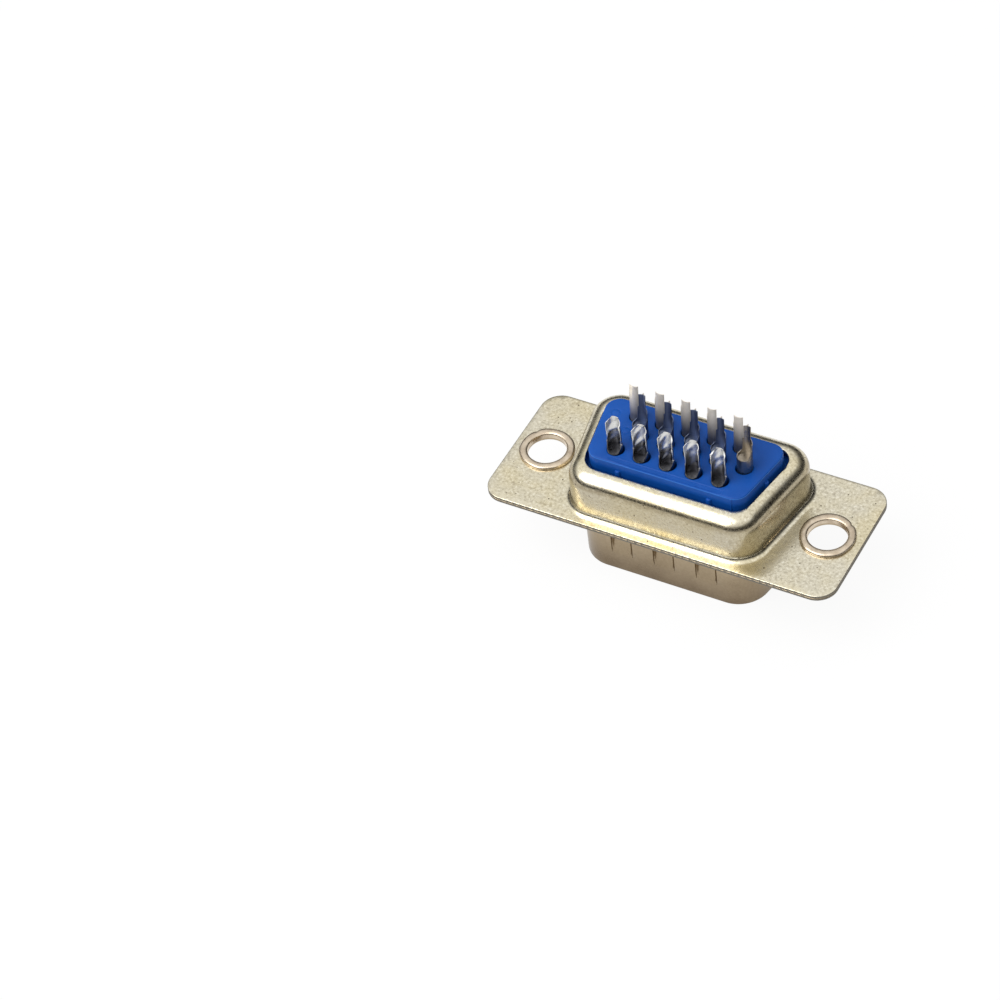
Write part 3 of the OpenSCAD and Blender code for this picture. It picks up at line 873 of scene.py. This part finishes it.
def wall_span(h, cup):
    """Half width of the remaining wall, as an angle, at height h above the block: a full turn below
    the foot, closing to half a turn at the knee, and the tab's own width above the shoulders,
    which slope from the cup's width to the tab's."""
    foot, tab_z = cup["foot"], cup["length"] - cup["tab_h"]
    cut = np.interp(h, [foot - CUT_LEAD, foot, foot + KNEE_H], [-CUP_R, -CUT_START, 0.0])
    span = np.pi - np.arccos(np.clip(-cut / CUP_R, -1, 1))
    chord = np.interp(h, [tab_z - cup["shoulder"], tab_z], [CUP_R, cup["tab_w"] / 2])
    share = np.clip((h - tab_z + cup["shoulder"]) / cup["shoulder"], 0, 1)
    return np.minimum(span, np.where(share > 0, np.arcsin(np.clip(chord / CUP_R, 0, 1)), np.pi))


def cup_heights(cup):
    """Heights above the block of a cup's rows: closer together where its cut turns."""
    foot, length = cup["foot"], cup["length"]
    knee, tab_z = foot + KNEE_H, length - cup["tab_h"]
    h = np.unique(np.round(np.concatenate([
        [-0.15], np.linspace(foot - CUT_LEAD, foot, 5), np.linspace(foot, knee, 13),
        np.linspace(knee, tab_z - cup["shoulder"], 16), np.linspace(tab_z - cup["shoulder"], tab_z, 9),
        np.linspace(tab_z, length, 7)]), 5))
    return np.unique(np.concatenate([h, np.linspace(-0.15, foot - CUT_LEAD, 6)])) if foot > 0.3 else h


print("the cut closes", KNEE_H, "mm above a cup's foot")

# %% [markdown]
# ### One contact
# The pin, the holding shoulder and the bottom of the cup hang on the first row of the outer skin, so
# the whole contact is one closed surface. Small waves on both skins make each one a little
# different, from a seed of its own.
# %% One contact
PIN_R, PIN_TIP_Z = 0.38, 0.7
SHOULDER_R, SHOULDER_H = 0.85, 0.7
SKIN_GAP, SWELL, THIN_WALL, FLOOR_DROP, TIP_SLOPE = 0.014, 0.012, 0.04, 0.18, 0.05
COLUMNS = 33


def upright(radius, theta, z):
    """Points at a radius and angle round the contact's own axis, seen from the open side."""
    return np.stack([radius * np.sin(theta), -radius * np.cos(theta), z], -1)


def pin_profile():
    """Radius and height of the pin, from under the block to the middle of its round tip."""
    arc = [(PIN_R * math.cos(a), PIN_TIP_Z + PIN_R - PIN_R * math.sin(a)) for a in np.linspace(0, np.pi / 2, 10)]
    low = SPLIT_Z - SHOULDER_H
    return [(CUP_R - SKIN_GAP, SPLIT_Z), (SHOULDER_R, SPLIT_Z), (SHOULDER_R, low), (PIN_R, low)] + arc[:-1] + [(0.0, PIN_TIP_Z)]


def contact(k, cup):
    """Outer skin, inner skin, edges, floor and pin of contact k, round its own axis. The skin is a
    grid over height and over the wall that is left: radius times (sin, -cos) of the angle."""
    wob = np.random.default_rng(100 + k)
    foot, h = cup["foot"], cup_heights(cup)
    up, span, u = h[:, None], wall_span(h, cup), np.linspace(-1, 1, COLUMNS)
    left = np.minimum(span, np.interp(h, *cup["left"])) if "left" in cup else span
    theta = np.pi + np.where(u[None] > 0, left[:, None], span[:, None]) * u[None]
    edge = np.exp(-((np.minimum(1 + u, 1 - u) / 0.06) ** 2))[None]
    nub = cup["nub"] * np.exp(-(((h - foot - KNEE_H) / 0.09) ** 2))[:, None] * edge
    outer = CUP_R - SKIN_GAP + nub + SWELL * np.sin(1.1 * up + 2 * theta + wob.uniform(0, 6)) * (up > 0.2)
    dents = sum(wob.uniform(0.5, 1) * np.sin(wob.uniform(2, 7) * up + wob.integers(1, 5) * theta + wob.uniform(0, 6))
                for _ in range(6))
    inner = np.minimum(cup["bore"] + cup["crinkle"] * dents * (up > foot), outer - THIN_WALL)
    tip = (np.clip(h / cup["length"], 0, 1) ** 8)[:, None] * wob.uniform(-TIP_SLOPE, TIP_SLOPE) * np.sin(theta)

    floor_h = foot - FLOOR_DROP
    floor_z, sunk = BLOCK_Z + max(floor_h, h[0]), h < floor_h + 1e-6
    out = upright(outer, theta, BLOCK_Z + up + tip)
    ins = upright(inner, theta, BLOCK_Z + np.maximum(up, floor_h) + tip)
    ins[sunk] = ins[np.argmin(sunk)] if h[0] < floor_h else ins[0]
    ins[sunk, :, 2] = floor_z

    def ring(r, z):
        return upright(r, theta[0], np.full(COLUMNS, z))

    cut = int(np.searchsorted(h, foot - CUT_LEAD - 1e-6))
    floor = np.stack([ins[0], ring(0.25, floor_z), ring(0.0, floor_z)])
    stem = np.stack([out[0]] + [ring(r, z) for r, z in pin_profile()])
    grids = [out, ins] + [np.stack([out[cut:, j], ins[cut:, j]], 1) for j in (0, COLUMNS - 1)]
    grids += [np.stack([out[-1], ins[-1]], 1), floor, stem]
    return [(grid.reshape(-1, 3), quads(*grid.shape[:2])) for grid in grids]


print("a pin has", len(pin_profile()), "rows")

# %% [markdown]
# ### Three rows of cups
# The far row turns its back to the narrow side, the other two rows open toward it. The middle row
# stands highest, on a closed tube, so that its wires clear the near row, and its left walls are cut
# back further: left lists heights and the angle that remains there. All cups lean a little.
# %% All fifteen
ROW_CUPS = [
    dict(length=4.0, foot=0.9, tab_w=0.8, tab_h=0.95, shoulder=0.15, turn=math.pi,
         nub=0.0, crinkle=0.003, lean=0.045, bore=0.58, aside=0.0),
    dict(length=4.21, foot=1.5, tab_w=0.62, tab_h=1.3, shoulder=0.14, turn=0.03,
         nub=0.0, crinkle=0.002, lean=0.045, bore=0.59, aside=0.06,
         left=([1.38, 1.5, 1.62, 4.21], [np.pi, 1.0, 0.72, 0.6])),
    dict(length=3.04, foot=0.03, tab_w=0.62, tab_h=0.04, shoulder=0.36, turn=0.0,
         nub=0.06, crinkle=0.032, lean=-0.015, bore=0.58, aside=-0.065),
]
ROW_TIN = [FAR_TIN_PAINTED_LIT] * 5 + [END_TIN_PAINTED_REFLECTION] + [MIDDLE_TIN_PAINTED_SHADE] * 4 + [NEAR_TIN] * 5


def stand(patches, x, y, cup):
    """Turns a contact's patches to its row's side, leans them and moves them to x, y."""
    c, s = math.cos(cup["turn"]), math.sin(cup["turn"])
    placed = []
    for p, f in patches:
        off = cup["lean"] * np.clip(p[:, 2] - BLOCK_Z, 0, None)
        placed.append((np.column_stack([x + c * p[:, 0] - s * p[:, 1] + off, y + s * p[:, 0] + c * p[:, 1], p[:, 2]]), f))
    return placed


for k, (x, y) in enumerate(SEATS):
    node, cup = f"contact_{k + 1:02d}", ROW_CUPS[k // 5]
    piece = make_piece(node + "_skin", stand(contact(k, cup), x + cup["aside"], y, cup), ROW_TIN[k], sharp=50)
    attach(piece, "root")
    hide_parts(node)

# %% [markdown]
# ## Camera, floor and light
# The camera repeats the viewing angle and distance that the photograph gives for the known sizes of
# the flange and the contact grid. It is set by its own three axes, which hold exactly as measured.
# %% Camera
LENS, SENSOR = 126.04, 36
CAMERA_PLACE = np.array([96.648, -168.601, 202.839 + REAR_Z])
CAMERA_UP = np.array([-0.27706061, 0.67148905, 0.68726987])
CAMERA_AHEAD = np.array([-0.39037471, 0.57491293, -0.71908463])
camera_data = bpy.data.cameras.new("view_camera")
camera_data.sensor_width, camera_data.lens = SENSOR, LENS
camera_data.clip_start, camera_data.clip_end = 0.01, 10
camera = bpy.data.objects.new("view_camera", camera_data)
stance = np.eye(4)
stance[:3, :3] = np.column_stack([np.cross(CAMERA_AHEAD, CAMERA_UP), CAMERA_UP, -CAMERA_AHEAD])
stance[:3, 3] = CAMERA_PLACE * MM
camera.matrix_world = Matrix(stance.tolist())
bpy.context.scene.collection.objects.link(camera)
bpy.context.scene.camera = camera
print("camera at", [round(c) for c in CAMERA_PLACE], "mm")

# %% [markdown]
# ### Floor
# A sheet of white paper. Seen by the camera, or in a reflection, most of it is plain white light of
# strength 1, and the small rest is real paper, which keeps the shadow. Other rays see only paper, so
# the white adds no light to the object.
# %% Floor
FLOOR_REACH, PAPER_GREY, WHITE_SHARE = 3, 0.92, 0.92
corners = [(-1, -1), (1, -1), (1, 1), (-1, 1)]
floor_mesh = bpy.data.meshes.new("floor")
floor_mesh.from_pydata([(x * FLOOR_REACH, y * FLOOR_REACH, 0) for x, y in corners], [], [(0, 1, 2, 3)])
floor = bpy.data.objects.new("floor", floor_mesh)
bpy.context.scene.collection.objects.link(floor)
paper = Recipe("floor_paper", 0.0, 0.9)
paper.shader.inputs["Base Color"].default_value = (PAPER_GREY, PAPER_GREY, PAPER_GREY, 1)
white = paper.tree.nodes.new("ShaderNodeEmission")
white.inputs["Strength"].default_value = 1.0
seen = paper.tree.nodes.new("ShaderNodeLightPath").outputs
direct = paper.math("MAXIMUM", seen["Is Camera Ray"], seen["Is Glossy Ray"])
shown = paper.math("MAXIMUM", direct, seen["Is Transmission Ray"])
blend = paper.tree.nodes.new("ShaderNodeMixShader")
paper.link(paper.math("MULTIPLY", shown, WHITE_SHARE), blend.inputs[0])
paper.link(paper.shader.outputs[0], blend.inputs[1])
paper.link(white.outputs[0], blend.inputs[2])
paper.link(blend.outputs[0], paper.tree.nodes["Material Output"].inputs["Surface"])
floor_mesh.materials.append(paper.material)
print("floor is", 2 * FLOOR_REACH, "m wide")

# %% [markdown]
# ### Surroundings
# Plated metal shows its room. Here that is a plain studio: dark up to a low horizon, and pale above
# it. The share of the way up is a dot product of the direction with a nearly upright vector.
# %% Surroundings
SKY_UP, SKY_STRENGTH = (-0.1, -0.08, 0.8), 1.2
SKY_STOPS = [(0.0, 0.03), (0.26, 0.04), (0.40, 0.25), (0.5, 0.85), (1.0, 1.0)]
world = bpy.data.worlds.new("studio")
bpy.context.scene.world = world
world.use_nodes = True
nodes, links = world.node_tree.nodes, world.node_tree.links
way = nodes.new("ShaderNodeTexCoord")
upward = nodes.new("ShaderNodeVectorMath")
upward.operation = "DOT_PRODUCT"
upward.inputs[1].default_value = SKY_UP
rise = nodes.new("ShaderNodeValToRGB")
while len(rise.color_ramp.elements) < len(SKY_STOPS):
    rise.color_ramp.elements.new(0.5)
for element, (at, grey) in zip(rise.color_ramp.elements, SKY_STOPS):
    element.position, element.color = at, (grey, grey, grey, 1)
links.new(way.outputs["Generated"], upward.inputs[0])
links.new(upward.outputs["Value"], rise.inputs["Fac"])
links.new(rise.outputs["Color"], nodes["Background"].inputs["Color"])
nodes["Background"].inputs["Strength"].default_value = SKY_STRENGTH
print("sky has", len(SKY_STOPS), "stops")

# %% [markdown]
# ### Lamp
# One large soft lamp stands high in front, toward the left. The crest throws it back to the camera as
# the white band that runs along the near side.
# %% Lamp
KEY_SIZE, KEY_WATTS = 0.42, 1.4
KEY_PLACE, KEY_TARGET = Vector((-0.165, -0.215, 0.37)), Vector((0, 0, 0.01))
key_data = bpy.data.lights.new("key", "AREA")
key_data.size, key_data.energy = KEY_SIZE, KEY_WATTS
key = bpy.data.objects.new("key", key_data)
key.location = KEY_PLACE
key.rotation_euler = (KEY_TARGET - KEY_PLACE).to_track_quat("-Z", "Y").to_euler()
bpy.context.scene.collection.objects.link(key)
bpy.context.scene.view_settings.view_transform = "Standard"
print("key lamp", KEY_WATTS, "W")
